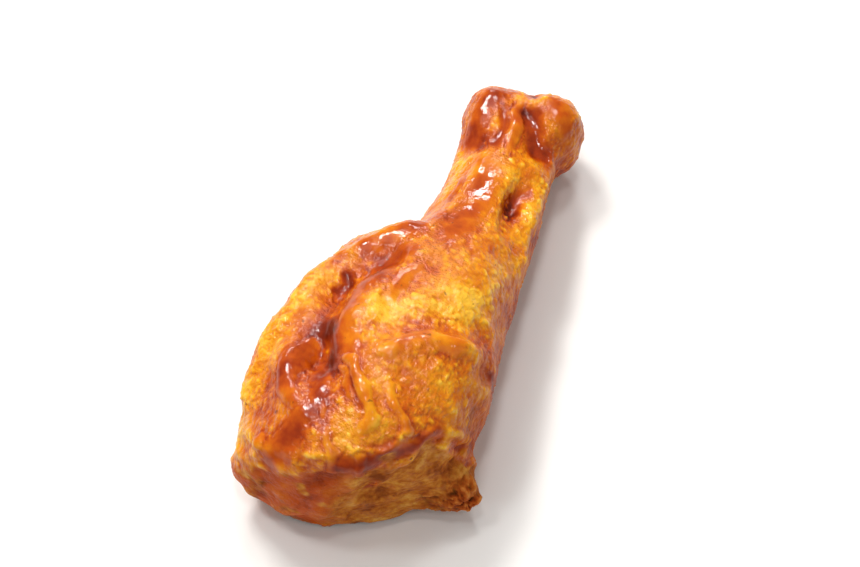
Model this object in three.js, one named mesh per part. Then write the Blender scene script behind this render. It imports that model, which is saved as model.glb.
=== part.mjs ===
// A fried, sauced chicken drumette: the upper joint of a wing, lying on its underside.
// Millimetres, +Z up. +X runs from the cut shoulder end to the elbow end, +Y towards the web of skin.
// The surface is lofted through oval sections, then folds, grooves, pits and lumps are raised on it.
import * as THREE from "three";
import { ImprovedNoise } from "three/addons/math/ImprovedNoise.js";

// Driving dimensions
const LENGTH = 92; // cut end to elbow end, along the bone
const CUT_ROUNDING = 5; // how soon the cut end reaches its full section
const CUT_FLATNESS = 9; // how flat the cut face is before it rounds over: 2 is a dome
const CUT_BULGE = 1.2; // how far the middle of the cut face stands out
const CUT_SLANT_REACH = 38; // where the sections stand square to the bone
const ELBOW_ROUNDING = 6.4; // length of the round elbow end
const ELBOW_FLATNESS = 0.8; // below 1 is flatter than a dome
const ELBOW_SLANT = 0.15; // how far the elbow end leans back for each millimetre to the web side
const ELBOW_SLANT_FROM = 74; // where that lean begins
const SKIN_STEP = 1.3; // how far the bare meat lies below the end of the skin
const SKIN_STEP_RUN = [-1.6, 0.6]; // where that step begins and ends, either side of the skin's edge

// How finely the surface is divided
const AROUND = 60;
const CUT_RINGS = 11;
const BODY_RINGS = 56;
const ELBOW_RINGS = 8;
const UPPER_SIDE_STEPS = 120;
const QUARTER_TURN = Math.PI / 2;

// Sections along the bone. web and back are the reaches to +Y and -Y, top and under the heights
// of the highest and lowest line, mid the height where the section is widest, and belly how
// square the lower half is: 2 is an oval, more is boxier, less is undercut.
const SECTIONS = [
  { x: 0, web: 21.4, back: 16.5, top: 25.5, under: -0.4, mid: 12.5, belly: 2.9 },
  { x: 7, web: 22.3, back: 16.6, top: 28.5, under: -0.7, mid: 13.5, belly: 2.7 },
  { x: 15, web: 24, back: 16.4, top: 30.6, under: -0.7, mid: 14.5, belly: 2.4 },
  { x: 24, web: 25.2, back: 16.5, top: 31.4, under: -0.6, mid: 15, belly: 2.2 },
  { x: 33, web: 24.4, back: 15.2, top: 30.6, under: -0.3, mid: 15, belly: 2.1 },
  { x: 41, web: 21.8, back: 13.2, top: 28.6, under: 0, mid: 14.6, belly: 2 },
  { x: 46.6, web: 20.3, back: 12.7, top: 26.9, under: 0.5, mid: 14.2, belly: 2 },
  { x: 50, web: 18.8, back: 12.4, top: 25.6, under: 0.9, mid: 13.8, belly: 2 },
  { x: 53.6, web: 12.2, back: 12, top: 24.2, under: 1.3, mid: 13.3, belly: 2 },
  { x: 58, web: 10.2, back: 11.6, top: 22.8, under: 1.7, mid: 12.7, belly: 2 },
  { x: 63, web: 9.5, back: 10.8, top: 21.5, under: 1.9, mid: 12, belly: 2.1 },
  { x: 69, web: 9.3, back: 9.8, top: 20.2, under: 1.7, mid: 11.3, belly: 2.1 },
  { x: 75, web: 9.8, back: 8.8, top: 19.8, under: 0.5, mid: 10.8, belly: 2.2 },
  { x: 79, web: 10.8, back: 8.4, top: 20, under: -0.3, mid: 10.5, belly: 2.3 },
  { x: 81.6, web: 11.7, back: 10, top: 20.2, under: -0.7, mid: 10.3, belly: 2.3 },
  { x: 86, web: 12.4, back: 10.2, top: 19.7, under: -0.8, mid: 9.9, belly: 2.3 },
  { x: 92, web: 11, back: 9.2, top: 17.6, under: 0.4, mid: 9.4, belly: 2.2 },
];
// The exponents of the upper half towards the web and towards the back
const WEB_ROUNDNESS = 1.85;
const BACK_ROUNDNESS = 2.25;

// How far the cut face stands back along the bone, from the back side round to the web side
const CUT_LINE = [
  { side: -22, behind: 15.5 },
  { side: -17, behind: 13 },
  { side: -11, behind: 9.2 },
  { side: -5, behind: 4.8 },
  { side: 1, behind: 1.5 },
  { side: 8, behind: -0.2 },
  { side: 15, behind: -0.6 },
  { side: 20, behind: 0.6 },
  { side: 25, behind: 3 },
];

// Folds and grooves on the upper side, as paths of [x, y]. rise is the height of a fold, or the
// depth of a groove where it is negative, and breadth its half width.
const STROKES = [
  { part: "rim of the web", rise: 1.6, breadth: 2.2,
    path: [[50, 9.5], [45, 14], [40, 18.4], [31, 21.6], [22, 22.8], [13, 22]] },
  { part: "groove inside the rim", rise: -3, breadth: 2.7,
    path: [[43, 9], [38, 13.6], [33, 15.6], [25, 15], [19, 13.6]] },
  { part: "pocket at the top of the groove", rise: -1.6, breadth: 2, path: [[36, 16], [34, 16.2]] },
  { part: "pocket where sauce pools", rise: -1.6, breadth: 2.6, path: [[22.5, 14.4], [18, 10.4]] },
  { part: "lobe beside the pool", rise: 1.1, breadth: 2.6,
    path: [[18.5, 17.4], [13, 15.4], [9, 11]] },
  { part: "drip running off the lobe", rise: 0.7, breadth: 1.3,
    path: [[12, 12], [9.4, 8.4], [6, 5.6], [2.6, 3]] },
  { part: "fold across the breast of the meat", rise: 1.4, breadth: 1.8,
    path: [[22.4, 1.6], [26, -1.6], [29, -6], [30.6, -11.4]] },
  { part: "dip above that fold", rise: -1.2, breadth: 2.3,
    path: [[27.6, 3.4], [31.4, -2], [34.4, -8], [35.4, -12]] },
  { part: "long run of sauce", rise: 0.9, breadth: 1.3,
    path: [[19.4, 5.4], [15.6, 1.8], [12.6, -0.4], [9.6, -1]] },
  { part: "short run of sauce", rise: 0.6, breadth: 1.1,
    path: [[16.6, -2.6], [14, -4.6], [12, -6.8]] },
  { part: "ridge down from the neck", rise: 0.9, breadth: 2,
    path: [[46, 4.6], [40, 7.4], [34, 8.6], [29, 8]] },
  { part: "crease under that ridge", rise: -0.7, breadth: 1.5,
    path: [[43, 0.6], [37, 3.4], [31, 4.8]] },
  { part: "tendon along the neck", rise: 0.8, breadth: 1.8,
    path: [[74, 3.4], [66, 3.4], [58, 4.2], [50, 6]] },
  { part: "slack skin on the back edge of the neck", rise: 1.2, breadth: 1.7,
    path: [[76, -8], [69, -8.6], [62, -9.4], [54, -11]] },
  { part: "crease inside the slack skin", rise: -1.1, breadth: 1.6,
    path: [[70, -5.4], [64, -5.9], [58, -6.6]] },
  { part: "pit in the neck", rise: -1.8, breadth: 1.7, path: [[64.6, -5.8], [63.4, -5.8]] },
  { part: "pit near the back edge", rise: -1.8, breadth: 1.5, path: [[30.4, -14.4], [29, -14.6]] },
  { part: "knuckle on the web side", rise: 1.7, breadth: 4, path: [[85, 8.6], [81, 9]] },
  { part: "knuckle on the back side", rise: 1.5, breadth: 3.6, path: [[88, -6.2], [85.4, -7.2]] },
  { part: "saddle between the knuckles", rise: -1.6, breadth: 3.2,
    path: [[82.4, -0.4], [79, -3.4], [77, -4.6]] },
  { part: "waist below the knuckles", rise: -1, breadth: 2.6,
    path: [[74.6, 6.6], [73.6, 1.4], [76, -2]] },
];

// Lumps set off the surface: centre of the spot, how far it stands out, and its radius.
const LUMPS = [
  { part: "head of the bone, low at the cut end", at: [14, -17, 5.2], rise: 6.4, radius: 4.6 },
  { part: "gristle beside the bone", at: [15.6, -16.6, 9.4], rise: 1.8, radius: 3.2 },
  { part: "notch above the bone", at: [17.6, -15.6, 15], rise: -2, radius: 3.6 },
  { part: "bead of skin at the cut end", at: [1.6, 21, 8.8], rise: 3, radius: 3 },
  { part: "hollow under the bead", at: [1, 20, 3.4], rise: -0.8, radius: 2.4 },
  { part: "swell of meat on the cut face", at: [2, 7, 12], rise: 1.4, radius: 7 },
  { part: "fold on the cut face", at: [5, -5, 15], rise: -1.6, radius: 4.2 },
  { part: "underside of the web, tucked in", at: [33, 19, 5], rise: -1.6, radius: 8 },
  { part: "hollow of the elbow end", at: [93.5, 0.5, 10], rise: -1.6, radius: 4 },
];

// Where along the bone the skin ends at the cut, from the back side round to the web side
const SKIN_EDGE = [
  { side: -20, from: 9.5 },
  { side: -12, from: 6.4 },
  { side: -5, from: 3.2 },
  { side: 4, from: 2.2 },
  { side: 12, from: 2.8 },
  { side: 20, from: 5 },
];

// Uneven skin: waves of these lengths and heights, and the crags of the bare meat
const SKIN_WAVES = [
  { length: 11, height: 0.7 },
  { length: 5.2, height: 0.42 },
  { length: 2.9, height: 0.24 },
];
const MEAT_CRAG = { along: 6.5, across: 3.2, height: 0.9 };

const noise = new ImprovedNoise();

function smoothstep(from, to, value) {
  return THREE.MathUtils.smoothstep(value, from, to);
}

// A smooth curve through the rows' values of one key, read at position on another key.
function curveThrough(rows, positionKey, key, position) {
  const last = rows.length - 1;
  const p = THREE.MathUtils.clamp(position, rows[0][positionKey], rows[last][positionKey]);
  let i = 0;
  while (i < last - 1 && rows[i + 1][positionKey] < p) i += 1;
  const slope = (n) => {
    const a = rows[Math.max(n - 1, 0)];
    const b = rows[Math.min(n + 1, last)];
    return (b[key] - a[key]) / (b[positionKey] - a[positionKey]);
  };
  const [a, b] = [rows[i], rows[i + 1]];
  const span = b[positionKey] - a[positionKey];
  const t = (p - a[positionKey]) / span;
  const t2 = t * t;
  const t3 = t2 * t;
  return (
    (2 * t3 - 3 * t2 + 1) * a[key] +
    (t3 - 2 * t2 + t) * span * slope(i) +
    (3 * t2 - 2 * t3) * b[key] +
    (t3 - t2) * span * slope(i + 1)
  );
}

function sectionAt(x) {
  const value = (key) => curveThrough(SECTIONS, "x", key, x);
  return {
    web: value("web"),
    back: value("back"),
    top: value("top"),
    under: value("under"),
    mid: value("mid"),
    belly: value("belly"),
  };
}

// How far a point that lies to the side is set back along the bone, by the cut's slant.
function setBack(x, side) {
  return curveThrough(CUT_LINE, "side", "behind", side) * (1 - smoothstep(0, CUT_SLANT_REACH, x));
}

// A point of the section at x, in the direction of angle: 0 is +Y and a quarter turn is +Z.
// scale draws the section in towards its middle, where an end closes.
function sectionPoint(x, angle, scale, along = x) {
  const s = sectionAt(x);
  const [c, v] = [Math.cos(angle), Math.sin(angle)];
  const upper = c >= 0 ? WEB_ROUNDNESS : BACK_ROUNDNESS;
  const power = 2 / (v >= 0 ? upper : s.belly);
  const y = scale * Math.sign(c) * Math.abs(c) ** power * (c >= 0 ? s.web : s.back);
  const z = scale * Math.sign(v) * Math.abs(v) ** power * (v >= 0 ? s.top - s.mid : s.mid - s.under);
  const lean = ELBOW_SLANT * y * smoothstep(ELBOW_SLANT_FROM, LENGTH, x);
  return new THREE.Vector3(along + setBack(x, y) - lean, y, s.mid + z);
}

// The rings of the loft: where each one's section is read, how far it is drawn in, and where it lies.
function ringStations() {
  const rings = [];
  for (let i = 1; i <= CUT_RINGS; i += 1) {
    const scale = Math.sin((i / CUT_RINGS) * QUARTER_TURN);
    const rounded = CUT_ROUNDING * (1 - Math.sqrt(1 - scale ** CUT_FLATNESS));
    rings.push({ x: rounded, scale, along: rounded - CUT_BULGE * (1 - scale * scale) });
  }
  const bodyEnd = LENGTH - ELBOW_ROUNDING;
  for (let i = 1; i <= BODY_RINGS; i += 1) {
    const x = CUT_ROUNDING + ((bodyEnd - CUT_ROUNDING) * i) / BODY_RINGS;
    rings.push({ x, scale: 1, along: x });
  }
  for (let i = 1; i < ELBOW_RINGS; i += 1) {
    const turn = (i / ELBOW_RINGS) * QUARTER_TURN;
    const x = bodyEnd + ELBOW_ROUNDING * Math.sin(turn);
    rings.push({ x, scale: Math.cos(turn) ** ELBOW_FLATNESS, along: x });
  }
  return rings;
}

// The point of the smooth upper side above [x, y], found by walking over the section.
function onUpperSide([x, y]) {
  const station = x - setBack(x, y);
  let best = null;
  for (let i = 0; i <= UPPER_SIDE_STEPS; i += 1) {
    const point = sectionPoint(station, (i / UPPER_SIDE_STEPS) * Math.PI, 1);
    if (!best || Math.abs(point.y - y) < Math.abs(best.y - y)) best = point;
  }
  return best;
}

function distanceToPath(point, path) {
  const nearest = new THREE.Vector3();
  let best = Infinity;
  for (let i = 0; i + 1 < path.length; i += 1) {
    new THREE.Line3(path[i], path[i + 1]).closestPointToPoint(point, true, nearest);
    best = Math.min(best, nearest.distanceTo(point));
  }
  return best;
}

const strokes = STROKES.map((s) => ({ ...s, path: s.path.map(onUpperSide) }));
const lumps = LUMPS.map((l) => ({ ...l, centre: new THREE.Vector3(...l.at) }));

function bell(distance, breadth) {
  return Math.exp(-((distance / breadth) ** 2));
}

// 1 on the bare meat of the cut face, 0 on skin.
function bareness(point, station) {
  const skinFrom = curveThrough(SKIN_EDGE, "side", "from", point.y);
  return 1 - smoothstep(skinFrom + SKIN_STEP_RUN[0], skinFrom + SKIN_STEP_RUN[1], station.along);
}

// How far the surface stands out from its smooth form at a point.
function relief(point, station) {
  let rise = 0;
  for (const s of strokes) rise += s.rise * bell(distanceToPath(point, s.path), s.breadth);
  for (const l of lumps) rise += l.rise * bell(l.centre.distanceTo(point), l.radius);
  for (const { length, height } of SKIN_WAVES) {
    rise += height * noise.noise(point.x / length, point.y / length, point.z / length + length);
  }
  const bare = bareness(point, station);
  const { along, across, height } = MEAT_CRAG;
  const crag = noise.noise(point.x / across, point.y / across, point.z / along);
  return rise + bare * (height * crag - SKIN_STEP);
}

// Vertices ring by ring, with one more at the middle of each end.
function smoothForm() {
  const points = [];
  const stations = [];
  const rings = ringStations();
  const add = (point, station) => {
    points.push(point);
    stations.push(station);
  };
  const cutEnd = { x: 0, scale: 0, along: -CUT_BULGE };
  const elbowEnd = { x: LENGTH, scale: 0, along: LENGTH };
  add(sectionPoint(cutEnd.x, 0, 0, cutEnd.along), cutEnd);
  for (const ring of rings) {
    for (let j = 0; j < AROUND; j += 1) {
      add(sectionPoint(ring.x, (j / AROUND) * Math.PI * 2, ring.scale, ring.along), ring);
    }
  }
  add(sectionPoint(elbowEnd.x, 0, 0, elbowEnd.along), elbowEnd);
  return { points, stations, ringCount: rings.length };
}

function trianglesOf(ringCount) {
  const index = [];
  const vertex = (ring, j) => 1 + ring * AROUND + (j % AROUND);
  const last = 1 + ringCount * AROUND;
  for (let j = 0; j < AROUND; j += 1) {
    index.push(0, vertex(0, j + 1), vertex(0, j));
    index.push(last, vertex(ringCount - 1, j), vertex(ringCount - 1, j + 1));
    for (let i = 0; i + 1 < ringCount; i += 1) {
      const [a, b] = [vertex(i, j), vertex(i, j + 1)];
      const [c, d] = [vertex(i + 1, j), vertex(i + 1, j + 1)];
      index.push(a, b, c, b, d, c);
    }
  }
  return index;
}

// The smooth form with its relief, cut flat where it lies on the ground.
function drumetteGeometry() {
  const { points, stations, ringCount } = smoothForm();
  const geometry = new THREE.BufferGeometry().setFromPoints(points);
  geometry.setIndex(trianglesOf(ringCount));
  geometry.computeVertexNormals();
  const normal = new THREE.Vector3();
  const raised = points.map((point, i) => {
    normal.fromBufferAttribute(geometry.attributes.normal, i);
    const moved = point.clone().addScaledVector(normal, relief(point, stations[i]));
    moved.z = Math.max(moved.z, 0);
    return moved;
  });
  geometry.setFromPoints(raised);
  geometry.computeVertexNormals();
  return geometry;
}

// The origin is under the middle of the piece, on the surface that it lies on.
function centredOverOrigin(geometry) {
  geometry.computeBoundingBox();
  const { min, max } = geometry.boundingBox;
  return geometry.translate(-(min.x + max.x) / 2, -(min.y + max.y) / 2, -min.z);
}

function drumette() {
  const sauced = new THREE.MeshStandardMaterial({ color: 0xd9770f, roughness: 0.25, metalness: 0 });
  const mesh = new THREE.Mesh(centredOverOrigin(drumetteGeometry()), sauced);
  mesh.name = "drumette";
  return mesh;
}

const group = new THREE.Group();
group.add(drumette());

export default group;
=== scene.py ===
"""A fried chicken drumette glazed in hot sauce, lying on a pale floor.

Places on the drumette are millimetres in the bone's frame: x runs along the bone from the cut end
to the elbow end, y towards the web of skin, z up from the floor.
"""

import math
from collections import namedtuple

import bmesh
import bpy
import numpy as np
from mathutils import Matrix, Vector, noise
from mathutils.bvhtree import BVHTree


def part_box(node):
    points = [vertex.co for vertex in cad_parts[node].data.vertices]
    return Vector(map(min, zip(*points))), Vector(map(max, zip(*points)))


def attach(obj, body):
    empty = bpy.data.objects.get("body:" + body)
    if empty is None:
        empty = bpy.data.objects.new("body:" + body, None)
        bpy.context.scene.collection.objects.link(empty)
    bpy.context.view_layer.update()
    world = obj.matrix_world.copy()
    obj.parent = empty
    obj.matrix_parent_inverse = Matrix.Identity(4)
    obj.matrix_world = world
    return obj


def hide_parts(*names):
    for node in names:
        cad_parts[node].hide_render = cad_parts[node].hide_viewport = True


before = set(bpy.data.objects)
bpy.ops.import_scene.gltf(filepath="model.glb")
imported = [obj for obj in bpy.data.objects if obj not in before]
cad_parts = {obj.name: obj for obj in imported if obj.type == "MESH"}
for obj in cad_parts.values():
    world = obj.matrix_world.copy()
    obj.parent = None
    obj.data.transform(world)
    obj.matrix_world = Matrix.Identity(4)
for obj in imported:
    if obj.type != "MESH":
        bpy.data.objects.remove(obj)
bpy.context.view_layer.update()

MM = 0.001
BOX_LOW, BOX_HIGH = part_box("drumette")
BONE_START = BOX_LOW + Vector((1.18, 20.07, 0)) * MM  # the middle of the cut end, on the floor

NOISE_SEED = 12
noise.seed_set(NOISE_SEED)  # without it the noise of mathutils starts from the clock

# Skin surface, in mm
SKIN_GRID = 0.362  # between its points
SKIN_INSET = 0.22  # how far it lies inside the solid before its own relief is raised
MERGE_DISTANCE = 0.002

# Fried skin relief, in mm
RELIEF_INPUTS = {
    "Pimple Spacing": 1.8,
    "Pimple Height": 0.2,
    "Crinkle Spacing": 0.85,
    "Crinkle Height": 0.42,
    "Fold Spacing": 5.5,
    "Fold Height": 0.9,
    "Gather Spacing": 0.8,
    "Gather Height": 0.5,
    "Meat Lump Spacing": 4.2,
    "Meat Lump Height": 1.3,
    "Fibre Spacing": 0.75,
    "Fibre Height": 0.18,
    "Gristle Spacing": 2.3,
    "Gristle Height": 0.8,
    "Inset": SKIN_INSET,
    "Seed": 3.0,
}

# Sauce that stands on the upper side: its path, how thick it stands, its half width, how far it
# turns the colour to deep sauce, and how much its last point swells into a bead. A hollow that
# sauce only wets has a thickness of 0 or less.
Run = namedtuple("Run", "name path thick half_width depth swell")
RUNS = [
    Run("pool in the fold", [(25.6, 13), (23.8, 11), (21.4, 9.4), (20, 9.4)], 0.2, 2.5, 1.0, 1.1),
    Run("shallow side of the pool", [(24.4, 9.4), (23, 7.4)], 0.15, 2.2, 0.4, 1.0),
    Run("lobe beside the pool", [(21.6, 13.8), (18.6, 15.4), (15, 15.6), (11.6, 13)], 0.6, 2.1, 0.42, 1.1),
    Run("foot of the pool", [(19, 10.6), (16.4, 9.8), (14.4, 8.6), (11.6, 8.8)], 0.45, 1.7, 0.5, 1.0),
    Run("thread", [(12.1, 8), (9.2, 5.8), (6, 3.6), (3.2, 1.6)], 0.45, 0.8, 0.26, 1.35),
    Run(
        "middle run", [(20.6, 6.6), (18.9, 5.1), (16.7, 2.5), (14.2, 0.1), (11.8, -1.3), (10.4, -1)],
        0.6, 1.25, 0.16, 1.3,
    ),
    Run("strand of the middle run", [(19, 7.6), (17, 5.4), (14.6, 3.4)], 0.4, 0.7, 0.16, 1.2),
    Run("short run", [(17.9, -1.6), (15.7, -3.9), (14, -6), (13.2, -7.4)], 0.5, 0.9, 0.16, 1.1),
    Run(
        "strip inside the rim", [(45, 6.3), (42, 8.6), (36, 10), (30.2, 10.6), (25.4, 9.6)],
        0.2, 2.1, 0.42, 1.0,
    ),
    # The pocket is dark partly with pooled sauce and partly with painted shade
    Run("pocket under the rim", [(38, 15), (36.2, 14.2), (34.6, 14.9)], -0.35, 1.2, 0.85, 1.0),
    Run(
        "fold over the meat",
        [(23.3, 0.7), (26.1, -0.5), (28.9, -2.8), (29.6, -5.6), (30.3, -8.3), (30.6, -10.6)],
        0.34, 1.5, 0.1, 0.4,
    ),
    Run("glaze beside the breast", [(33.5, 5.2), (36.5, 4.8), (40.7, 3.4)], 0.3, 1.6, 0.26, 1.0),
    Run("glaze under the fold", [(25.6, -0.8), (27.6, -3.2)], 0.25, 1.3, 0.12, 1.0),
    Run("glaze at the end of the fold", [(28.6, -7), (29, -10.2)], 0.25, 1.1, 0.12, 1.0),
    Run("glaze on the shoulder", [(44, 13.4), (47, 10.8), (50.4, 8)], 0.12, 2.4, 0.42, 1.0),
    Run("glaze behind the knuckle", [(86, -5.4), (83.4, -8)], 0.12, 2.2, 0.3, 1.0),
    Run("neck sheet", [(70, 2.6), (64.7, 0.9), (58.1, -0.2), (52.4, 1.1)], 0.14, 2.6, 0.16, 1.0),
    Run("drip on the neck", [(66, 5), (62, 5.4), (59, 5.2)], 0.3, 0.9, 0.3, 1.3),
    # The neck hollow is dark partly with pooled sauce and partly with painted shade
    Run(
        "hollow of the neck", [(68.4, -6.4), (66.8, -5.3), (65.2, -6.5), (62.6, -5.4)],
        -0.15, 0.9, 0.7, 0.5,
    ),
    Run("cup between the knuckles", [(82.1, -1.8), (79.2, -3.5), (77.4, -5.1)], -0.7, 2.4, 0.55, 1.0),
    Run("web knuckle", [(84.6, 6.6), (80.4, 8), (75.8, 7.4)], 0.3, 2.3, 0.5, 1.0),
    Run("bridge of the knuckles", [(81.6, 3.6), (78.4, 2.4), (75.4, 3)], -0.35, 1.3, 0.5, 1.0),
    Run("ridge of the knuckle", [(84.8, 1.6), (81.4, 0.8), (77.6, 0), (73, -0.6)], 0.55, 1.1, 0.12, 0.7),
    Run("red of the lower side", [(9.2, 9.6), (6, 10.4), (1.9, 12.3)], 0.2, 2.5, 0.5, 1.0),
    Run("sauce above the cut", [(3.8, 0.8), (6.6, -3.3), (11.2, -8), (15.9, -11.5)], 0.22, 1.7, 0.68, 1.0),
    Run("bead above the cut", [(5.8, -1.4), (5, -2.4)], 0.6, 1.2, 0.4, 1.0),
    Run("beads of the lower side", [(4.6, 15.6), (3.6, 15.2)], 0.5, 1.1, 0.3, 1.0),
    # The flank pit has no relief of its own: its darkness is painted shade, partly pooled sauce
    Run("pit of the flank", [(30.4, -15), (29.8, -15.8)], 0.0, 1.0, 0.85, 1.0),
]
PATH_STEP = 0.4  # mm between the points of a run
DROPPED_FROM = 60  # mm above the floor, well over the drumette
STAIN_REACH = 1.5  # a run's colour reaches this many half widths
WET_REACH = 1.2  # and its wet gloss this many
BELL, STEEP, STEEPEST = 1.5, 0.9, 0.85  # how round a section is: colour and hollows, gloss, runs
BEAD_FROM = 0.75  # of the way along a run
THIN_UNDER = (0.5, 0.1)  # depth of the sauce's colour, under which yellow skin can show

# Where the sauce is thin and the yellow skin shows through
Bare = namedtuple("Bare", "name path half_width strength")
GOLDEN = [
    Bare("breast of the meat", [(32.2, 3.4), (35.2, -1.8), (38.2, -6.9)], 4.6, 1.1),
    Bare("flank to the neck", [(42, -8.6), (49.7, -9.3), (60.3, -9.2), (70, -8.6)], 2.6, 0.4),
    Bare("edge of the neck", [(62, 7.4), (68, 7.8), (73, 8.6)], 1.8, 0.5),
    Bare(
        "rim of the web", [(36, 18.8), (31, 20.2), (25.9, 21.6), (19.9, 22.8), (12.4, 22.2), (5.4, 21)],
        3.2, 0.8,
    ),
    Bare("beside the middle run", [(17, 0.6), (14, -1.8), (11, -2.6)], 2.4, 0.6),
    Bare("beside the short run", [(13, 4.4), (10, 1.4)], 2.2, 0.55),
    Bare("hollow of the knuckles", [(75.4, -5.9), (77.2, -3.4)], 1.5, 0.8),
    Bare("top of the knuckles", [(85, 2.4), (85.4, -1.6)], 1.6, 0.5),
]

# Cut end, in mm
CUT_FACE = [  # y across the drumette, and x of the cut face there
    (-22, 15.5), (-17, 13), (-11, 9.2), (-5, 4.8), (1, 1.5), (8, -0.2), (15, -0.6), (20, 0.6), (25, 3),
]
SKIN_EDGE = [  # y, and how far behind the face the skin starts
    (-20, 7.5), (-12, 4.8), (-5, 2.3), (4, 1.4), (12, 1.4), (20, 1.8),
]
EDGE_SOFTNESS = (0.5, -0.5)  # past the edge, where skin turns to bare meat
LIP_HEIGHT, LIP_HALF_WIDTH, LIP_FROM_EDGE = 0.55, 1.7, 1.2
MEAT_SINKS, SINKS_OVER = 0.35, (0.2, -1.6)  # how far the bare meat sinks, and where past the edge
STAINED_FROM = (-1.5, 5.5)  # y, where sauce starts to stain the meat, at the height below
STAIN_HEIGHT, STAIN_LEAN = 10, 0.25
BONE_HEAD = (12, -18, 5)
BONE_HEAD_SHAPE = (1.1, 1.15, 2.0)  # how far it reaches along x, y and z, one against the other
HEAD_REACH = (8, 3)  # from its middle
HEAD_BEHIND_FACE = (6.5, 0.5)
RAGGED_SIZE = 3.4  # of the noise that breaks up the skin's edge

# Elbow end, in mm
GROOVE_Y, GROOVE_HALF_WIDTH, GROOVE_DEPTH = 1.8, 1.5, 0.7
GROOVE_LEAN = 0.12  # towards the web for each mm down
GROOVE_FROM, CREASE_FROM = (86, 89), (85.5, 87.5)  # x
KNOB_HEIGHT = 9  # of its middle above the floor
CREASE_CENTRE = (-1, 8.5)  # y and z of the ring round the two knobs
CREASE_RADIUS, CREASE_HALF_WIDTH, CREASE_DEPTH = 7.4, 1.1, 0.35

# Sides, in mm: where the flank is browner and darker, partly browning and partly painted shade, and how
# low that darker underside and the painted contact shadow reach
FLANK_Y, FLANK_X, FLANK_Z = (-12.5, -16), (31, 25), (3, 8)
UNDERSIDE_Z, CONTACT_Z = (9, 1), (2.2, 0.4)
FACES_UP = (-0.1, 0.9)  # the normal's part along z

# Kinds of node
MATH = "ShaderNodeMath"
VECTOR_MATH = "ShaderNodeVectorMath"
MAP_RANGE = "ShaderNodeMapRange"
NOISE = "ShaderNodeTexNoise"
CELLS = "ShaderNodeTexVoronoi"
MIX = "ShaderNodeMix"
RAMP = "ShaderNodeValToRGB"
STORE = "GeometryNodeStoreNamedAttribute"


def hex_linear(code):
    """A linear RGBA colour from an sRGB hex value."""
    channels = [int(code[i : i + 2], 16) / 255 for i in (1, 3, 5)]
    return [c / 12.92 if c <= 0.04045 else ((c + 0.055) / 1.055) ** 2.4 for c in channels] + [1.0]


def add(tree, kind, *values, stops=(), **named):
    """Adds a node with its settings and links. Values fill its inputs in order, and a node given as
    a value stands for its first output. Other names are those of settings or of inputs, and stops
    are the (position, sRGB hex) colours of a ramp."""
    node = tree.nodes.new(kind)
    given = []
    for name, value in named.items():
        if hasattr(node, name):
            setattr(node, name, value)
        else:
            given.append((name, value))
    sockets = [socket for socket in node.inputs if socket.enabled]
    by_name = {socket.name: socket for socket in reversed(sockets)}
    for socket, value in [*zip(sockets, values), *((by_name[name], value) for name, value in given)]:
        if isinstance(value, bpy.types.Node):
            value = next(output for output in value.outputs if output.enabled)
        if isinstance(value, bpy.types.NodeSocket):
            tree.links.new(value, socket)
        else:
            socket.default_value = value
    if stops:
        elements = node.color_ramp.elements
        while len(elements) < len(stops):
            elements.new(0.5)
        for element, (position, code) in zip(elements, stops):
            element.position = position
            element.color = hex_linear(code)
    return node


def smoothstep(low, high, value):
    """0 at low, 1 at high, eased at both ends. Low may be the larger of the two."""
    t = np.clip((value - low) / (high - low), 0, 1)
    return t * t * (3 - 2 * t)


def in_bone_frame(mesh):
    """The mesh's points in mm in the bone's frame, one row each."""
    points = np.empty(len(mesh.vertices) * 3, np.float32)
    mesh.vertices.foreach_get("co", points)
    return (points.reshape(-1, 3) - np.array(BONE_START)) / MM


def store(mesh, name, values):
    """Keeps a value for each point of the mesh, under a name that nodes can read."""
    attribute = mesh.attributes.new(name, "FLOAT", "POINT")
    attribute.data.foreach_set("value", np.ascontiguousarray(values, np.float32))


def change(mesh, name, amounts):
    """Adds amounts to a stored value."""
    values = np.empty(len(mesh.vertices), np.float32)
    mesh.attributes[name].data.foreach_get("value", values)
    mesh.attributes[name].data.foreach_set("value", np.ascontiguousarray(values + amounts, np.float32))


# Skin surface


def merged_solid():
    """A copy of the solid's mesh with its loose triangles joined."""
    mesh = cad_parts["drumette"].data.copy()
    work = bmesh.new()
    work.from_mesh(mesh)
    bmesh.ops.remove_doubles(work, verts=work.verts, dist=MERGE_DISTANCE * MM)
    work.to_mesh(mesh)
    work.free()
    mesh.materials.clear()
    return mesh


def plain_mesh(piece):
    """Puts the piece's evaluated mesh in place of its modifiers."""
    shown = piece.evaluated_get(bpy.context.evaluated_depsgraph_get())
    mesh = bpy.data.meshes.new_from_object(shown)
    piece.modifiers.clear()
    piece.data = mesh


def new_piece(name, mesh):
    piece = bpy.data.objects.new(name, mesh)
    bpy.context.scene.collection.objects.link(piece)
    return piece


def even_surface():
    """The solid's surface in small even faces, fine enough to carry the skin's relief."""
    piece = new_piece("sauced_drumette", merged_solid())
    rounded = piece.modifiers.new("rounded", "SUBSURF")
    rounded.levels = rounded.render_levels = 1
    grid = piece.modifiers.new("grid", "REMESH")
    grid.mode = "VOXEL"
    grid.voxel_size = SKIN_GRID * MM
    plain_mesh(piece)
    return piece


def smooth_path(points):
    """Points about a step apart on a smooth curve through the given ones."""
    ends = [points[0], *points, points[-1]]
    out = []
    for corners in zip(ends, ends[1:], ends[2:], ends[3:]):
        before, start, end, after = (np.array(p, float) for p in corners)
        rise = end - before
        bend = 2 * before - 5 * start + 4 * end - after
        twist = 3 * start - before - 3 * end + after
        for t in np.arange(0, 1, PATH_STEP / max(np.linalg.norm(end - start), PATH_STEP)):
            out.append(0.5 * (2 * start + rise * t + bend * t**2 + twist * t**3))
    out.append(np.array(points[-1], float))
    return np.array(out)


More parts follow.
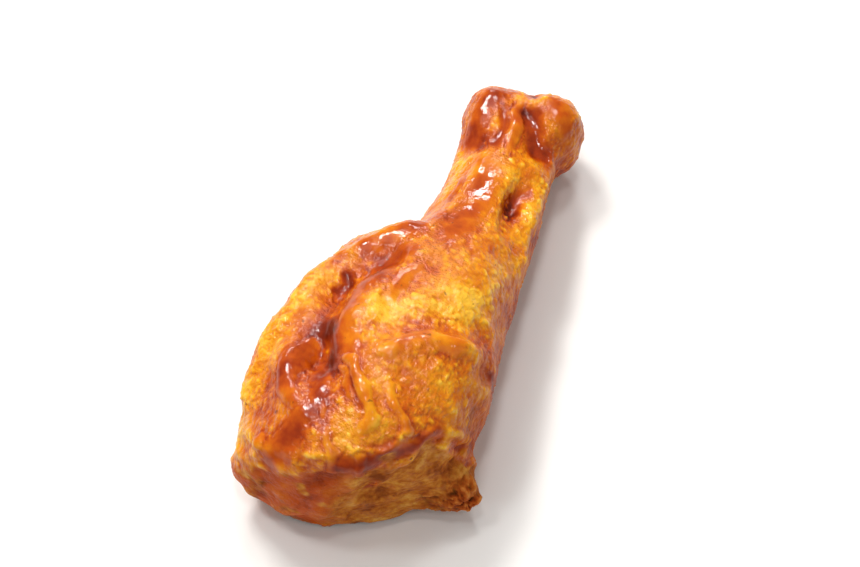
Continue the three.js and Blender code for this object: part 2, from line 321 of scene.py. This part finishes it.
def dropped(path, surface):
    """The path's points dropped from above onto the surface."""
    out = []
    for x, y in smooth_path(path):
        start = BONE_START + Vector((x, y, DROPPED_FROM)) * MM
        hit = surface.ray_cast(start, Vector((0, 0, -1)))[0]
        if hit is not None:
            out.append((np.array(hit) - np.array(BONE_START)) / MM)
    return np.array(out)


def nearness(points, path):
    """How far each point is from the path, and how far along the path it is, from 0 to 1."""
    best = np.full(len(points), np.inf)
    where = np.zeros(len(points))
    for i, p in enumerate(path):
        d = np.linalg.norm(points - p, axis=1)
        closer = d < best
        best[closer] = d[closer]
        where[closer] = i / max(len(path) - 1, 1)
    return best, where


def bell(distance, half_width):
    """1 in the middle, and fading without an end."""
    return np.exp(-((distance / half_width) ** 2))


def mound(distance, half_width, roundness=BELL):
    """A section 1 high in the middle and 0 from half_width on: a bell, or with a roundness below 1
    a flat top with steep sides."""
    return np.clip(1 - (distance / half_width) ** 2, 0, 1) ** roundness


def wandering(points, reach, size):
    """The points moved by up to reach mm, by smooth noise of that size in mm, so that nothing
    painted from them has a ruled edge."""
    return points + np.array([noise.noise_vector(Vector(p) / size) for p in points]) * reach


def paint_sauce(mesh):
    """Stores how deep the sauce's colour is, how wet and how high it stands, and where it is thin."""
    points = wandering(in_bone_frame(mesh), reach=1.1, size=3.6)
    surface = BVHTree.FromPolygons([v.co for v in mesh.vertices], [p.vertices for p in mesh.polygons])
    depth, wet, stand, thin = (np.zeros(len(points)) for _ in range(4))
    for run in RUNS:
        distance, along = nearness(points, dropped(run.path, surface))
        width = run.half_width * (1 + (run.swell - 1) * smoothstep(BEAD_FROM, 1, along))
        depth = np.maximum(depth, run.depth * mound(distance, width * STAIN_REACH))
        wet = np.maximum(wet, mound(distance, width * WET_REACH, STEEP))
        height = run.thick * mound(distance, width, STEEPEST if run.thick > 0 else BELL)
        stand = np.where(np.abs(height) > np.abs(stand), height, stand)
    for patch in GOLDEN:
        distance, _ = nearness(points, dropped(patch.path, surface))
        thin = np.maximum(thin, patch.strength * bell(distance, patch.half_width))
    store(mesh, "deep", depth)
    store(mesh, "wet", wet)
    store(mesh, "stand", stand)
    store(mesh, "thin", thin * smoothstep(*THIN_UNDER, depth))


def paint_elbow_end(mesh):
    """Deepens the groove between the two knobs of the elbow end and the crease round them, and lets
    sauce lie in both."""
    x, y, z = wandering(in_bone_frame(mesh), reach=1.2, size=3.0).T
    beside_groove = y - GROOVE_Y + GROOVE_LEAN * (z - KNOB_HEIGHT)
    groove = bell(beside_groove, GROOVE_HALF_WIDTH) * smoothstep(*GROOVE_FROM, x)
    from_centre = np.hypot(y - CREASE_CENTRE[0], z - CREASE_CENTRE[1])
    crease = bell(from_centre - CREASE_RADIUS, CREASE_HALF_WIDTH) * smoothstep(*CREASE_FROM, x)
    change(mesh, "stand", -GROOVE_DEPTH * groove - CREASE_DEPTH * crease)
    change(mesh, "deep", 0.5 * groove + 0.3 * crease)


def paint_cut_end(mesh):
    """Stores where the meat is bare at the cut end and where sauce stains it, raises the skin's lip
    over it, and stores where the bone's head is knobbly."""
    points = in_bone_frame(mesh)
    x, y, z = wandering(points, reach=1.4, size=3.0).T
    ragged = np.array([noise.noise(Vector(p) / RAGGED_SIZE) for p in points])
    behind_face = x - np.interp(y, *zip(*CUT_FACE))
    past_edge = behind_face - np.interp(y, *zip(*SKIN_EDGE))
    lip = mound(past_edge - LIP_FROM_EDGE, LIP_HALF_WIDTH) * np.clip(0.5 + 1.6 * ragged, 0, 1.3)
    change(mesh, "stand", LIP_HEIGHT * lip - MEAT_SINKS * smoothstep(*SINKS_OVER, past_edge))
    store(mesh, "meat", smoothstep(*EDGE_SOFTNESS, past_edge))
    store(mesh, "stain", smoothstep(*STAINED_FROM, y + STAIN_LEAN * (z - STAIN_HEIGHT)))
    from_head = np.linalg.norm((np.stack([x, y, z], 1) - BONE_HEAD) / BONE_HEAD_SHAPE, axis=1)
    head = smoothstep(*HEAD_REACH, from_head + 3.6 * ragged)
    store(mesh, "gristle", head * smoothstep(*HEAD_BEHIND_FACE, behind_face + 4 * ragged))


def paint_sides(mesh):
    """Stores where the skin is browner and darker, partly browning and partly painted shade, where it
    faces up, and where it meets the floor, for a painted contact shadow.
    """
    x, y, z = wandering(in_bone_frame(mesh), reach=1.4, size=3.0).T
    flank = smoothstep(*FLANK_Y, y) * smoothstep(*FLANK_X, x) * smoothstep(*FLANK_Z, z)
    # Browner and darker on the flank and low down: partly browning, partly painted shade
    store(mesh, "brown_and_shade", np.maximum(0.8 * flank, smoothstep(*UNDERSIDE_Z, z)))
    # Where it meets the floor, for a painted contact shadow
    store(mesh, "contact_shade", smoothstep(*CONTACT_Z, z))
    normals = np.empty(len(mesh.vertices) * 3, np.float32)
    mesh.vertices.foreach_get("normal", normals)
    store(mesh, "upper", smoothstep(*FACES_UP, normals[2::3]))


def fried_skin_relief():
    """Geometry nodes that raise pimples, crinkles, gathers and fibres along the normal, and store
    how hollow each place then is, because sauce gathers in the hollows and colours are darkened
    there as painted crease shade."""
    tree = bpy.data.node_groups.new("fried_skin_relief", "GeometryNodeTree")
    face = tree.interface
    face.new_socket("Geometry", in_out="INPUT", socket_type="NodeSocketGeometry")
    for name in RELIEF_INPUTS:
        face.new_socket(name, in_out="INPUT", socket_type="NodeSocketFloat")
    face.new_socket("Finish", in_out="INPUT", socket_type="NodeSocketMaterial")
    face.new_socket("Geometry", in_out="OUTPUT", socket_type="NodeSocketGeometry")
    given = add(tree, "NodeGroupInput").outputs

    mask = {}
    for name in ("meat", "wet", "thin", "stand", "gristle"):
        mask[name] = add(tree, "GeometryNodeInputNamedAttribute", name, data_type="FLOAT")
    per_mm = {}
    for name in ("Pimple", "Crinkle", "Fold", "Gather", "Meat Lump", "Fibre", "Gristle"):
        per_mm[name] = add(tree, MATH, 1.0, given[f"{name} Spacing"], operation="DIVIDE")

    # Where a point is in mm, and the same bent by up to a millimetre so that no pattern is regular
    position = add(tree, "GeometryNodeInputPosition")
    normal = add(tree, "GeometryNodeInputNormal")
    place = add(tree, VECTOR_MATH, position, (1 / MM,) * 3, operation="MULTIPLY")
    drift = add(tree, NOISE, Vector=place, Scale=0.45, Detail=1.0).outputs["Color"]
    drift = add(tree, VECTOR_MATH, drift, (0.5,) * 3, operation="SUBTRACT")
    bent = add(tree, VECTOR_MATH, drift, (2.2,) * 3, place, operation="MULTIPLY_ADD")
    seeded = {"noise_dimensions": "4D", "W": given["Seed"], "Roughness": 0.55}

    # Pimples, where the feathers grew, bolder in some places than in others
    cell = add(tree, CELLS, Vector=bent, Scale=per_mm["Pimple"], Randomness=0.9)
    dome = add(tree, MAP_RANGE, cell, 0.08, 0.55, 1.0, 0.0, interpolation_type="SMOOTHSTEP")
    wide = add(tree, MATH, given["Pimple Spacing"], 2.4, operation="MULTIPLY")
    wide = add(tree, MATH, 1.0, wide, operation="DIVIDE")
    bold = add(tree, NOISE, Vector=place, Scale=wide, Detail=2.0, **seeded)
    bold = add(tree, MAP_RANGE, bold, 0.35, 0.65, 0.2, 1.2)
    dome = add(tree, MATH, dome, bold, operation="MULTIPLY")

    # Crinkles of the shrunken skin, strong in some places and faint in others
    crinkle = add(
        tree, NOISE, Vector=bent, Scale=per_mm["Crinkle"], Detail=3.0,
        **{**seeded, "noise_type": "RIDGED_MULTIFRACTAL", "Roughness": 0.5},
    )
    region = add(tree, NOISE, Vector=place, Scale=1 / 7, Detail=1.0, **seeded)
    strong = add(tree, MAP_RANGE, region, 0.4, 0.6, 0.45, 1.3)

    # Gathers that run across the bone where the skin is drawn tight
    turned = add(tree, "ShaderNodeVectorRotate", Vector=bent, Angle=math.radians(-14))
    across = add(tree, VECTOR_MATH, turned, (1.0, 0.2, 0.3), operation="MULTIPLY")
    gather = add(tree, NOISE, Vector=across, Scale=per_mm["Gather"], Detail=2.0, **seeded)
    tight = add(tree, MAP_RANGE, mask["thin"], 0.2, 0.9, 0.25, 1.6)

    # Soft folds, and the lumps and fibres of the cut meat
    fold = add(tree, NOISE, Vector=bent, Scale=per_mm["Fold"], Detail=1.5, **seeded)
    lump = add(tree, NOISE, Vector=place, Scale=per_mm["Meat Lump"], Detail=1.0, **seeded)
    strand = add(tree, VECTOR_MATH, bent, (1.0, 0.55, 1.0), operation="MULTIPLY")
    fibre = add(tree, NOISE, Vector=strand, Scale=per_mm["Fibre"], Detail=3.0, **seeded)

    # Knobbly gristle round the bone's head
    knob = add(tree, CELLS, Vector=bent, Scale=per_mm["Gristle"], Smoothness=0.3, feature="SMOOTH_F1")
    close = add(tree, MATH, given["Gristle Spacing"], 0.6, operation="MULTIPLY")
    close = add(tree, MATH, 1.0, close, operation="DIVIDE")
    crumb = add(tree, NOISE, Vector=bent, Scale=close, Detail=3.0, **seeded)
    crumb = add(tree, MATH, crumb, 2.0, operation="MULTIPLY")
    gristle = add(tree, MATH, knob, -1.8, crumb, operation="MULTIPLY_ADD")

    # Sauce fills the fine relief that it covers, and half of the folds
    covered = add(tree, MATH, 1.0, mask["meat"], operation="SUBTRACT")
    unfilled = add(tree, MATH, mask["wet"], -0.92, 1.0, operation="MULTIPLY_ADD")
    half_filled = add(tree, MATH, mask["wet"], -0.5, 1.0, operation="MULTIPLY_ADD")
    open_skin = add(tree, MATH, covered, unfilled, operation="MULTIPLY")
    crinkled = add(tree, MATH, open_skin, strong, operation="MULTIPLY")
    gathered = add(tree, MATH, open_skin, tight, operation="MULTIPLY")
    folded = add(tree, MATH, covered, half_filled, operation="MULTIPLY")

    height = add(tree, MATH, mask["stand"], given["Inset"], operation="SUBTRACT")
    for pattern, middle, size, where in (
        (dome, 0.0, "Pimple Height", open_skin),
        (crinkle, 0.5, "Crinkle Height", crinkled),
        (gather, 0.5, "Gather Height", gathered),
        (fold, 0.5, "Fold Height", folded),
        (lump, 0.5, "Meat Lump Height", mask["meat"]),
        (fibre, 0.5, "Fibre Height", mask["meat"]),
        (gristle, 0.19, "Gristle Height", mask["gristle"]),
    ):
        swing = add(tree, MATH, pattern, middle, operation="SUBTRACT")
        swing = add(tree, MATH, swing, given[size], operation="MULTIPLY")
        height = add(tree, MATH, swing, where, height, operation="MULTIPLY_ADD")

    # The domes are stored before the points move, so that colour and relief share their pattern
    shown_dome = add(tree, MATH, dome, open_skin, operation="MULTIPLY")
    geometry = add(tree, STORE, Geometry=given["Geometry"], Name="dome", Value=shown_dome)
    rise = add(tree, MATH, height, MM, operation="MULTIPLY")
    offset = add(tree, VECTOR_MATH, normal, rise, operation="SCALE")
    geometry = add(tree, "GeometryNodeSetPosition", Geometry=geometry, Offset=offset)

    # How far each point lies under the average of its neighbours, near ones and far ones, in mm
    for name, rounds in (("pit", 4), ("hollow", 40)):
        average = add(tree, "GeometryNodeBlurAttribute", position, rounds, data_type="FLOAT_VECTOR")
        below = add(tree, VECTOR_MATH, average, position, operation="SUBTRACT")
        below = add(tree, VECTOR_MATH, below, normal, operation="DOT_PRODUCT")
        below = add(tree, MATH, below, MM, operation="DIVIDE")
        geometry = add(tree, STORE, Geometry=geometry, Name=name, Value=below)
    geometry = add(tree, "GeometryNodeRealizeInstances", geometry)
    geometry = add(tree, "GeometryNodeSetMaterial", Geometry=geometry, Material=given["Finish"])
    add(tree, "NodeGroupOutput", geometry)
    return tree


def apply_nodes(piece, tree, values):
    """Runs a geometry node tree on the piece, with its named inputs set, and keeps the result."""
    modifier = piece.modifiers.new(tree.name, "NODES")
    modifier.node_group = tree
    for item in tree.interface.items_tree:
        if item.in_out == "INPUT" and item.name in values:
            modifier[item.identifier] = values[item.name]
    plain_mesh(piece)


def keep_in_box(mesh):
    """Holds the surface inside the solid's box."""
    points = np.empty(len(mesh.vertices) * 3, np.float32)
    mesh.vertices.foreach_get("co", points)
    points = np.clip(points.reshape(-1, 3), np.array(BOX_LOW), np.array(BOX_HIGH))
    mesh.vertices.foreach_set("co", points.ravel())
    mesh.update()


# Materials

# Colours from the thinnest sauce to the deepest, and from hollows, darkened as painted crease shade, to
# high spots in the others
SAUCE_FILM = [
    (0.0, "#F5B936"), (0.16, "#E99A16"), (0.36, "#D5750A"), (0.56, "#BC5008"), (0.75, "#983208"),
    (0.9, "#762107"), (1.0, "#601706"),
]
# Browner and darker skin of the flank and underside: partly browning, partly painted shade
BROWNED_AND_SHADED_SKIN = [(0.3, "#782606"), (0.48, "#AC450A"), (0.68, "#CC6A14")]
TAN_MEAT = [(0.16, "#823C0D"), (0.4, "#AC5C1A"), (0.62, "#C27626"), (0.86, "#DA9C44")]
STAINED_MEAT = [(0.3, "#8A2E06"), (0.5, "#B84A0A"), (0.72, "#CA6416")]
GRISTLE = [(0.2, "#340D05"), (0.42, "#86300C"), (0.62, "#AE4E18"), (0.85, "#CC7C38")]
# Painted contact shadow where the drumette meets the floor
CONTACT_SHADE = "#3E160A"
SCORCHED_FLECK = "#5A1D0C"
FLOOR_SHADES = [(0.3, "#F3F2F0"), (0.7, "#F6F5F3")]

# Patterns of the finish: the spacing in mm, and how many times finer detail is added
PATTERNS = {
    "sauce patches": (9, 3),
    "sauce mottle": (2.4, 4),
    "browning": (3.2, 4),
    "meat tones": (4.4, 3),
    "smears": (5.0, 3),
    "stained patches": (5.5, 2),
    "gristle": (1.4, 4),
    "flecks": (1.6, 2),
    "juice": (2.6, 3),
    "wrinkles": (1.2, 2),
    "fine wrinkles": (0.5, 2),
}
FIBRE_SPACING = 0.8  # mm
FIBRE_STRETCH = (1, 0.7, 1)
COMMON_FILM = 0.41  # how deep the sauce lies on most of the skin, as a place on its ramp
SAUCE_COAT, SAUCE_ROUGHNESS, SAUCE_IOR = 0.68, 0.045, 1.48  # oil and sugar, wet
SKIN_IOR = 1.4
BUMP_DEPTH = 0.5  # mm
SCATTER_DEPTH = 1.1  # mm that light travels in the skin

FLOOR_HALF = 1.5  # m
SHADE_SPACING = 1.0  # m between the floor's paler and darker patches


def new_material(name):
    material = bpy.data.materials.new(name)
    material.use_nodes = True
    tree = material.node_tree
    tree.nodes.clear()
    return material, tree


def sauced_skin():
    """Chicken skin fried and tossed in hot sauce: the sauce is a wet see-through film, yellow where
    it is thin over the pimples, orange to brick red where it stands thick, with sharp highlights.
    The cut meat is tan, fibrous and nearly matt."""
    material, tree = new_material("sauced_fried_skin")
    mask = {}
    for name in (
        "thin", "deep", "dome", "upper", "pit", "hollow", "wet",
        "brown_and_shade", "meat", "stain", "gristle", "contact_shade",
    ):
        mask[name] = add(tree, "ShaderNodeAttribute", attribute_name=name).outputs["Fac"]
    place = add(tree, "ShaderNodeTexCoord").outputs["Object"]
    pattern = {}
    for name, (spacing, detail) in PATTERNS.items():
        pattern[name] = add(tree, NOISE, Vector=place, Scale=1 / (spacing * MM), Detail=detail)

    # Sauce film: 0 is none, 1 is a deep pool. It gathers in hollows of the skin, and where sauce
    # stands over them they hardly show. Its deeper colour in the hollows is partly pooled sauce and
    # partly painted crease shade
    hollowness = add(tree, MATH, mask["pit"], 1.5, operation="MULTIPLY")
    hollowness = add(tree, MATH, mask["hollow"], 0.3, hollowness, operation="MULTIPLY_ADD")
    shown = add(tree, MATH, mask["wet"], -0.75, 1.0, operation="MULTIPLY_ADD")
    film = add(tree, MATH, hollowness, shown, operation="MULTIPLY")
    for value, middle, gain in (
        (pattern["sauce patches"], 0.5, 1.0),
        (pattern["sauce mottle"], 0.5, 0.55),
        (mask["thin"], 0.0, -0.33),
        (mask["deep"], 0.0, 0.6),
        (mask["dome"], 0.0, -0.06),
        # Faces that look down get a deeper, darker film: painted shade
        (mask["upper"], 0.95, -0.13),
    ):
        swing = add(tree, MATH, value, middle, operation="SUBTRACT")
        film = add(tree, MATH, swing, gain, film, operation="MULTIPLY_ADD")
    film = add(tree, MATH, film, COMMON_FILM, operation="ADD")
    skin = add(tree, RAMP, film, stops=SAUCE_FILM)

    # On the flank and low down the skin is less saucy, browner and darker: partly browning, partly painted
    # shade. In its hollows it is darker still, as painted crease shade
    browning = add(tree, MATH, mask["pit"], -1.2, pattern["browning"], operation="MULTIPLY_ADD")
    browned_and_shaded = add(tree, RAMP, browning, stops=BROWNED_AND_SHADED_SKIN)
    amount = add(tree, MATH, mask["brown_and_shade"], 0.85, operation="MULTIPLY")
    skin = add(tree, MIX, amount, skin, browned_and_shaded, data_type="RGBA")

    # Cut meat: tan and fibrous, stained by sauce towards the web, and darker in its hollows as painted
    # crease shade
    drawn = add(tree, "ShaderNodeMapping", Vector=place, Scale=FIBRE_STRETCH)
    fibres = add(tree, NOISE, Vector=drawn, Scale=1 / (FIBRE_SPACING * MM), Detail=4)
    tone = add(tree, MATH, mask["pit"], -0.9, 0.5, operation="MULTIPLY_ADD")
    for value, gain in ((fibres, 0.85), (pattern["meat tones"], 1.7)):
        swing = add(tree, MATH, value, 0.5, operation="SUBTRACT")
        tone = add(tree, MATH, swing, gain, tone, operation="MULTIPLY_ADD")
    meat = add(tree, RAMP, tone, stops=TAN_MEAT)
    # Stains darker in the hollows: painted crease shade
    smears = add(tree, MATH, mask["pit"], -0.8, pattern["smears"], operation="MULTIPLY_ADD")
    stained = add(tree, RAMP, smears, stops=STAINED_MEAT)
    patches = add(tree, MAP_RANGE, pattern["stained patches"], 0.36, 0.5, interpolation_type="SMOOTHSTEP")
    patches = add(tree, MATH, mask["stain"], patches, operation="MULTIPLY")
    meat = add(tree, MIX, patches, meat, stained, data_type="RGBA")
    colour = add(tree, MIX, mask["meat"], skin, meat, data_type="RGBA")

    # Gristle on the bone's head, darkened in its gaps as painted shade, a painted contact shadow where the
    # underside meets the floor, and dark scorched flecks
    knobs = add(tree, MATH, mask["pit"], -2.0, pattern["gristle"], operation="MULTIPLY_ADD")
    gristle = add(tree, RAMP, knobs, stops=GRISTLE)
    flecks = add(tree, MAP_RANGE, pattern["flecks"], 0.7, 0.76, interpolation_type="SMOOTHSTEP")
    for where, share, layer in (
        (mask["gristle"], 0.85, gristle),
        (mask["contact_shade"], 0.75, hex_linear(CONTACT_SHADE)),
        (flecks, 0.6, hex_linear(SCORCHED_FLECK)),
    ):
        amount = add(tree, MATH, where, share, operation="MULTIPLY")
        colour = add(tree, MIX, amount, colour, layer, data_type="RGBA")

    # Gloss: a coat of sauce on the skin, less of it on the flank and on faces that look down, and
    # hardly any on dry meat but for its juice
    sauceless = add(tree, MATH, patches, -0.3, 1.0, operation="MULTIPLY_ADD")
    sauceless = add(tree, MATH, mask["meat"], sauceless, operation="MULTIPLY")
    rough_head = add(tree, MATH, mask["gristle"], 0.2, operation="MULTIPLY")
    dry = add(tree, MATH, sauceless, rough_head, operation="MAXIMUM")
    roughness = add(tree, MATH, dry, 0.22, 0.32, operation="MULTIPLY_ADD")
    juice = add(tree, MAP_RANGE, pattern["juice"], 0.52, 0.62, interpolation_type="SMOOTHSTEP")
    juice = add(tree, MATH, mask["meat"], juice, operation="MULTIPLY")
    coat = SAUCE_COAT
    for value, gain in ((dry, -0.66), (mask["brown_and_shade"], -0.35), (juice, 0.4)):
        coat = add(tree, MATH, value, gain, coat, operation="MULTIPLY_ADD")
    facing = add(tree, MATH, mask["upper"], 0.75, 0.25, operation="MULTIPLY_ADD")
    coat = add(tree, MATH, coat, facing, operation="MULTIPLY")

    # Wrinkles too fine for the mesh, drowned where the sauce stands
    fine = add(tree, MATH, mask["upper"], 0.35, operation="MULTIPLY")
    fine = add(tree, MATH, pattern["fine wrinkles"], fine, operation="MULTIPLY")
    wrinkles = add(tree, MATH, pattern["wrinkles"], 1.1, fine, operation="MULTIPLY_ADD")
    undrowned = add(tree, MATH, mask["wet"], -0.93, 1.0, operation="MULTIPLY_ADD")
    wrinkles = add(tree, MATH, wrinkles, undrowned, operation="MULTIPLY")
    bump = add(tree, "ShaderNodeBump", Height=wrinkles, Strength=0.9, Distance=BUMP_DEPTH * MM)

    shader = add(
        tree, "ShaderNodeBsdfPrincipled",
        **{
            "Base Color": colour, "Roughness": roughness, "IOR": SKIN_IOR, "Specular IOR Level": 0.06,
            "Normal": bump, "Coat Weight": coat, "Coat Roughness": SAUCE_ROUGHNESS,
            "Coat IOR": SAUCE_IOR, "Coat Normal": bump, "Subsurface Weight": 0.14,
            "Subsurface Radius": (1.0, 0.35, 0.12), "Subsurface Scale": SCATTER_DEPTH * MM,
        },
    )
    add(tree, "ShaderNodeOutputMaterial", Surface=shader)
    return material


def pale_floor():
    """Matt white laminate: plain, and pale enough that the sauce's warm bounce shows beside the food."""
    material, tree = new_material("matt_white_laminate")
    place = add(tree, "ShaderNodeTexCoord").outputs["Object"]
    from_corner = add(tree, "ShaderNodeMapping", Vector=place, Location=(FLOOR_HALF,) * 3)
    shade = add(tree, NOISE, Vector=from_corner, Scale=1 / SHADE_SPACING, Detail=2.0)
    colour = add(tree, RAMP, shade, stops=FLOOR_SHADES)
    shader = add(tree, "ShaderNodeBsdfPrincipled", **{"Base Color": colour, "Roughness": 0.6})
    add(tree, "ShaderNodeOutputMaterial", Surface=shader)
    return material


# The drumette


def drumette():
    piece = even_surface()
    paint_sauce(piece.data)
    paint_elbow_end(piece.data)
    paint_cut_end(piece.data)
    paint_sides(piece.data)
    apply_nodes(piece, fried_skin_relief(), {**RELIEF_INPUTS, "Finish": sauced_skin()})
    keep_in_box(piece.data)
    piece.data.shade_smooth()
    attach(piece, "root")
    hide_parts("drumette")


# Studio

VIEW_AZIMUTH, VIEW_ELEVATION = -67, 61  # degrees, the photograph's angle on the drumette
LENS_MM, SENSOR_MM = 100, 36
IMAGE_WIDTH, IMAGE_HEIGHT = 860, 567
SHOWN_HEIGHT = 0.8  # of the image is filled by the drumette
APPARENT_HEIGHT = 78.5 * MM  # of the drumette in the view

# Softboxes round the drumette: where each stands in degrees and metres, its sides in metres, its
# watts and its colour. The small ones draw the sharp highlights on the sauce.
Softbox = namedtuple("Softbox", "name azimuth elevation distance sides watts colour")
SOFTBOXES = [
    Softbox("overhead_softbox", 150, 66, 0.7, (0.5, 0.4), 0.9, "#FFFCF6"),
    Softbox("top_glint", -87, 84, 0.7, (0.07, 0.07), 0.45, "#FFFFFF"),
    Softbox("back_strip", 113, 31, 0.7, (0.14, 0.06), 1.0, "#FFFFFF"),
    Softbox("key_softbox", 145, 55, 0.7, (0.16, 0.13), 2.55, "#FFFDF9"),
    Softbox("right_glint", 100, 68, 0.7, (0.09, 0.09), 0.7, "#FFFFFF"),
    Softbox("left_glint", -165, 66, 0.7, (0.09, 0.09), 0.6, "#FFFFFF"),
    Softbox("front_glint", -35, 66, 0.7, (0.08, 0.08), 0.3, "#FFFFFF"),
    Softbox("left_softbox", -124, 32, 0.8, (0.2, 0.15), 0.5, "#FFFFFF"),
    Softbox("front_fill", -30, 40, 0.9, (0.6, 0.5), 0.45, "#FFFBF4"),
]
ROOM_COLOUR, ROOM_STRENGTH = "#F8F7F4", 0.27


def aim(thing, azimuth, elevation, distance):
    """Stands a camera or light at that distance from the drumette's middle and turns it there."""
    a, e = math.radians(azimuth), math.radians(elevation)
    back = Vector((math.sin(a) * math.cos(e), -math.cos(a) * math.cos(e), math.sin(e)))
    turn = (-back).to_track_quat("-Z", "Y").to_matrix().to_4x4()
    middle = (BOX_LOW + BOX_HIGH) / 2
    thing.matrix_world = Matrix.Translation(middle + back * distance) @ turn
    bpy.context.scene.collection.objects.link(thing)


def camera():
    lens = bpy.data.cameras.new("camera")
    lens.lens, lens.sensor_width = LENS_MM, SENSOR_MM
    lens.clip_start, lens.clip_end = 0.01, 20
    view_width = APPARENT_HEIGHT / SHOWN_HEIGHT * IMAGE_WIDTH / IMAGE_HEIGHT
    thing = bpy.data.objects.new("camera", lens)
    aim(thing, VIEW_AZIMUTH, VIEW_ELEVATION, view_width * LENS_MM / SENSOR_MM)
    bpy.context.scene.camera = thing


def studio():
    camera()
    for box in SOFTBOXES:
        light = bpy.data.lights.new(box.name, "AREA")
        light.shape = "RECTANGLE"
        light.size, light.size_y = box.sides
        light.energy = box.watts
        light.color = hex_linear(box.colour)[:3]
        aim(bpy.data.objects.new(box.name, light), box.azimuth, box.elevation, box.distance)
    world = bpy.data.worlds.new("studio_white")
    world.use_nodes = True
    background = world.node_tree.nodes["Background"].inputs
    background["Color"].default_value = hex_linear(ROOM_COLOUR)
    background["Strength"].default_value = ROOM_STRENGTH
    bpy.context.scene.world = world
    bpy.context.scene.view_settings.view_transform = "Standard"
    corners = [(x * FLOOR_HALF, y * FLOOR_HALF, 0) for x, y in ((-1, -1), (1, -1), (1, 1), (-1, 1))]
    floor_mesh = bpy.data.meshes.new("floor")
    floor_mesh.from_pydata(corners, [], [(0, 1, 2, 3)])
    floor_mesh.materials.append(pale_floor())
    new_piece("floor", floor_mesh)


drumette()
studio()
